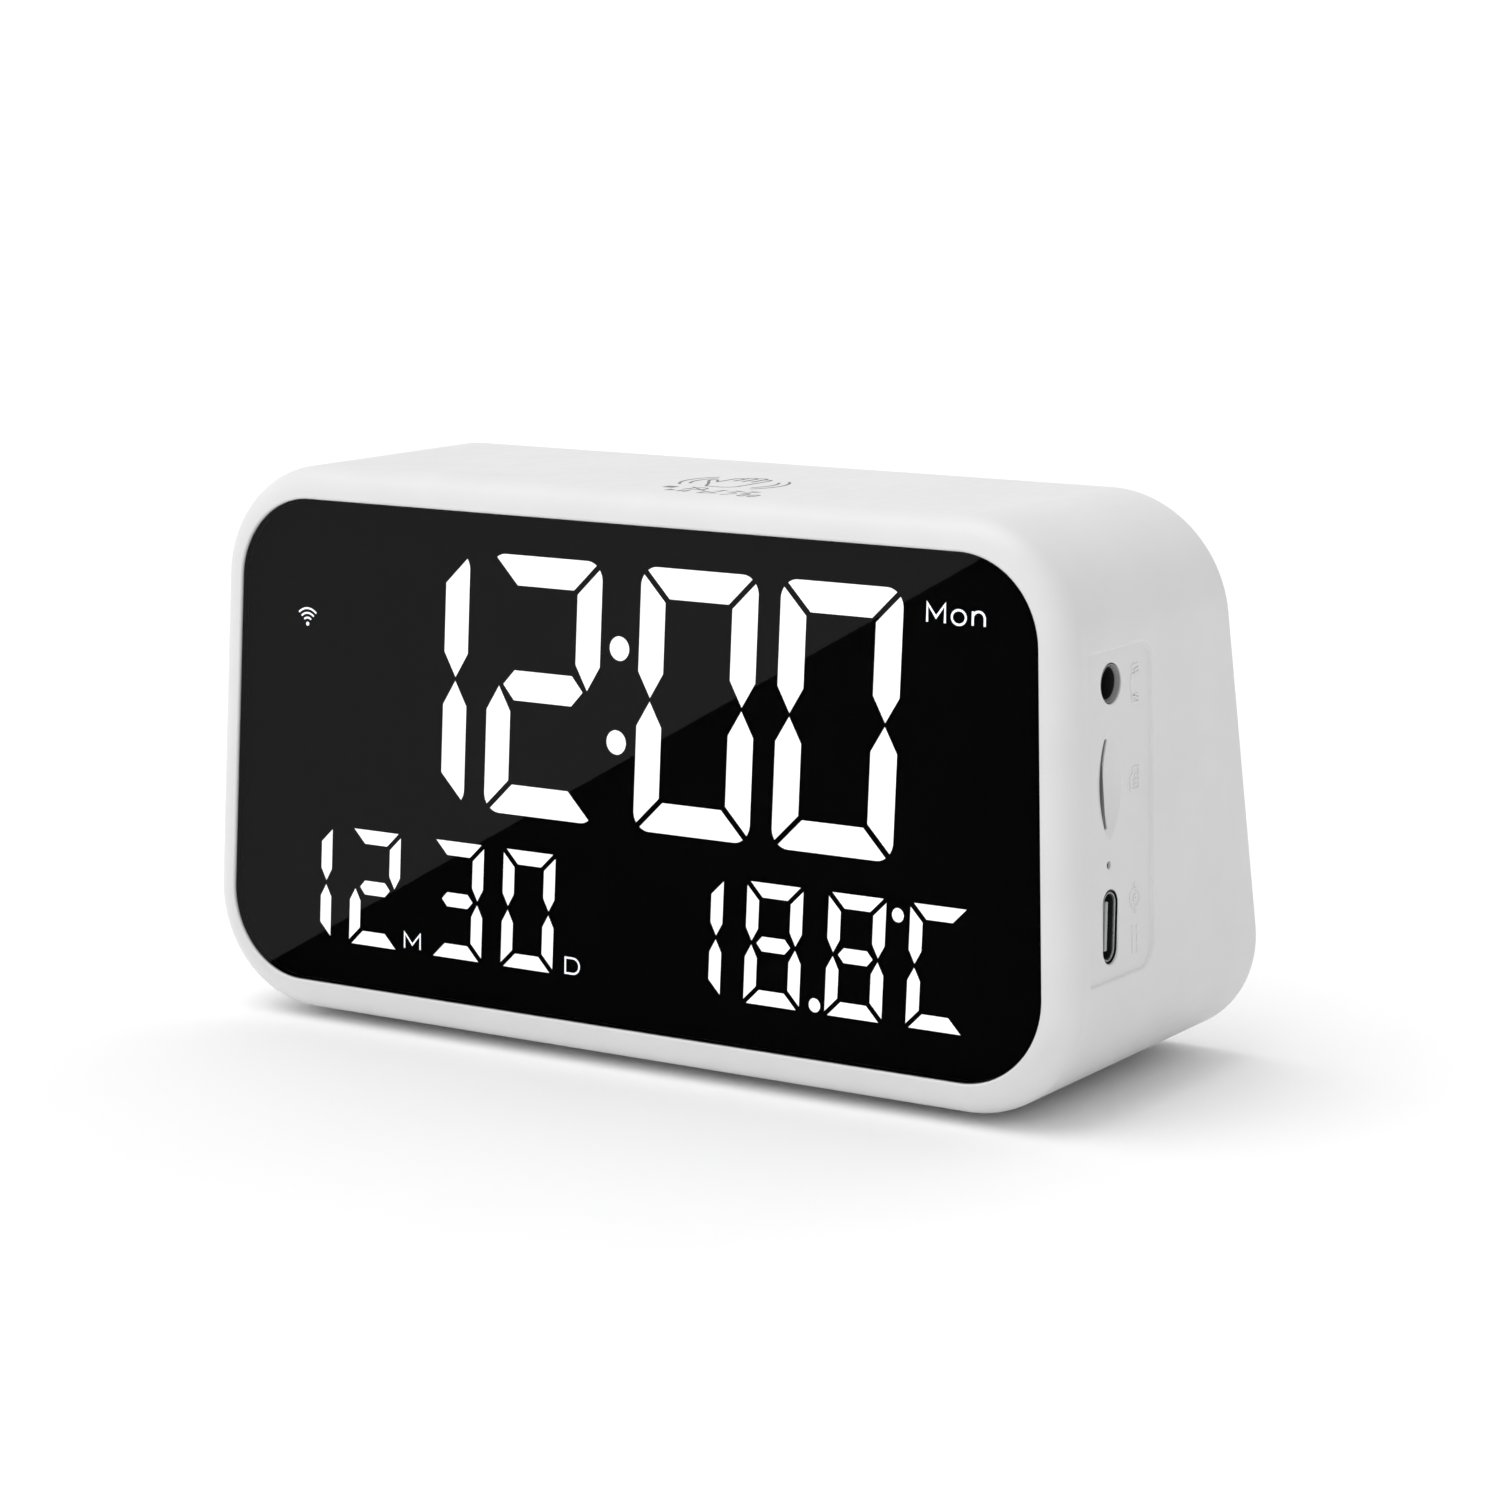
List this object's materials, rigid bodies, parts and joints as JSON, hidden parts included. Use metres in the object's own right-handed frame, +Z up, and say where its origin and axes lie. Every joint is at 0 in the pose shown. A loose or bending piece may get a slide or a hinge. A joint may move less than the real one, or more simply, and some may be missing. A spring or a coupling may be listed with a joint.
{
  "type": "alarm clock",
  "caption": "Bedside alarm clock with a leaning black segment display in a white rolled-edge case, end sockets, rear speaker and sprung push buttons.",
  "frame": {"origin": "centre of the bounding box's underside, where the rubber feet stand", "axes": "+X to the right seen from the front, +Y towards the rear cover, +Z up"},
  "size_m": [0.1394, 0.0524, 0.0771],
  "materials": {
    "white_shell": "fine satin moulded ABS",
    "rear_shell": "fine spark-textured ABS",
    "button_white": "satin ABS",
    "smoked_lens": "polished smoked acrylic",
    "adhesive": "black foam tape",
    "mask_black": "matt black polycarbonate",
    "bar_lit": "lit white diffuser",
    "bar_dark": "unlit diffuser behind grey film",
    "board_green": "solder-masked glass epoxy",
    "led_yellow": "phosphor over white package",
    "chip_black": "moulded epoxy",
    "shield_tin": "tin plated",
    "capacitor_case": "sleeved can",
    "socket_black": "moulded nylon",
    "contact_brass": "plated spring contact",
    "copper_foil": "copper foil",
    "wire_blue": "insulated wire",
    "wire_red": "insulated wire",
    "wire_black": "insulated wire",
    "ribbon_grey": "flat cable",
    "cell_sleeve": "shrink sleeve",
    "magnet_grey": "zinc plated magnet and yoke",
    "basket_black": "black coated steel",
    "cone_paper": "coated paper",
    "coil_copper": "enamelled copper",
    "soft_rubber": "soft rubber",
    "foot_rubber": "moulded rubber foot",
    "cloth_black": "fine woven mesh",
    "screw_steel": "zinc plated",
    "plunger_red": "moulded nylon"
  },
  "bodies": {
    "clock_case": {"housing": "white_shell", "rear_cover": "rear_shell", "display_lens": "smoked_lens", "lens_adhesive": "adhesive", "segment_block": "mask_black", "hour_segments": "bar_lit", "minute_segments": "bar_lit", "colon_dots": "bar_lit", "date_segments": "bar_lit", "temperature_segments": "bar_lit", "unlit_segments": "bar_dark", "status_windows": "bar_lit", "main_board": "board_green", "segment_leds": "led_yellow", "controller_chip": "chip_black", "amplifier_chip": "chip_black", "radio_module": "shield_tin", "power_coil": "chip_black", "capacitors": "capacitor_case", "temperature_sensor": "chip_black", "audio_jack": "socket_black", "jack_contacts": "contact_brass", "power_socket_shell": "shield_tin", "power_socket_tongue": "socket_black", "card_socket": "shield_tin", "microphone": "shield_tin", "touch_plate": "copper_foil", "touch_lead": "wire_blue", "aerial_wire": "wire_black", "battery_cell": "cell_sleeve", "battery_cradle": "chip_black", "battery_leads": "wire_red", "speaker_frame": "basket_black", "speaker_magnet": "magnet_grey", "speaker_surround": "soft_rubber", "speaker_gasket": "adhesive", "grille_cloth": "cloth_black", "speaker_leads": "wire_black", "speaker_screws": "screw_steel", "button_board": "board_green", "switch_bodies": "chip_black", "ribbon_cable": "ribbon_grey", "board_screws": "screw_steel", "cover_screws": "screw_steel", "rubber_feet": "foot_rubber"},
    "push_button_1": {"button_1": "button_white", "plunger_1": "plunger_red"},
    "push_button_2": {"button_2": "button_white", "plunger_2": "plunger_red"},
    "push_button_3": {"button_3": "button_white", "plunger_3": "plunger_red"},
    "push_button_4": {"button_4": "button_white", "plunger_4": "plunger_red"},
    "push_button_5": {"button_5": "button_white", "plunger_5": "plunger_red"},
    "cone": {"speaker_cone": "cone_paper", "dust_cap": "cone_paper", "voice_coil": "coil_copper"}
  },
  "joints": [
    {"name": "press_1", "type": "slide", "parent": "clock_case", "child": "push_button_1", "axis": [0, 0.9919, 0.1271], "range_m": [-0.0005, 0], "stiffness_N_per_m": 900, "springref_m": 0.0006},
    {"name": "press_2", "type": "slide", "parent": "clock_case", "child": "push_button_2", "axis": [0, 0.9919, 0.1271], "range_m": [-0.0005, 0], "stiffness_N_per_m": 900, "springref_m": 0.0006},
    {"name": "press_3", "type": "slide", "parent": "clock_case", "child": "push_button_3", "axis": [0, 0.9919, 0.1271], "range_m": [-0.0005, 0], "stiffness_N_per_m": 900, "springref_m": 0.0006},
    {"name": "press_4", "type": "slide", "parent": "clock_case", "child": "push_button_4", "axis": [0, 0.9919, 0.1271], "range_m": [-0.0005, 0], "stiffness_N_per_m": 900, "springref_m": 0.0006},
    {"name": "press_5", "type": "slide", "parent": "clock_case", "child": "push_button_5", "axis": [0, 0.9919, 0.1271], "range_m": [-0.0005, 0], "stiffness_N_per_m": 900, "springref_m": 0.0006},
    {"name": "cone_travel", "type": "slide", "parent": "clock_case", "child": "cone", "axis": [0, 0.9919, 0.1271], "range_m": [-0.0008, 0.0008], "stiffness_N_per_m": 700}
  ]
}
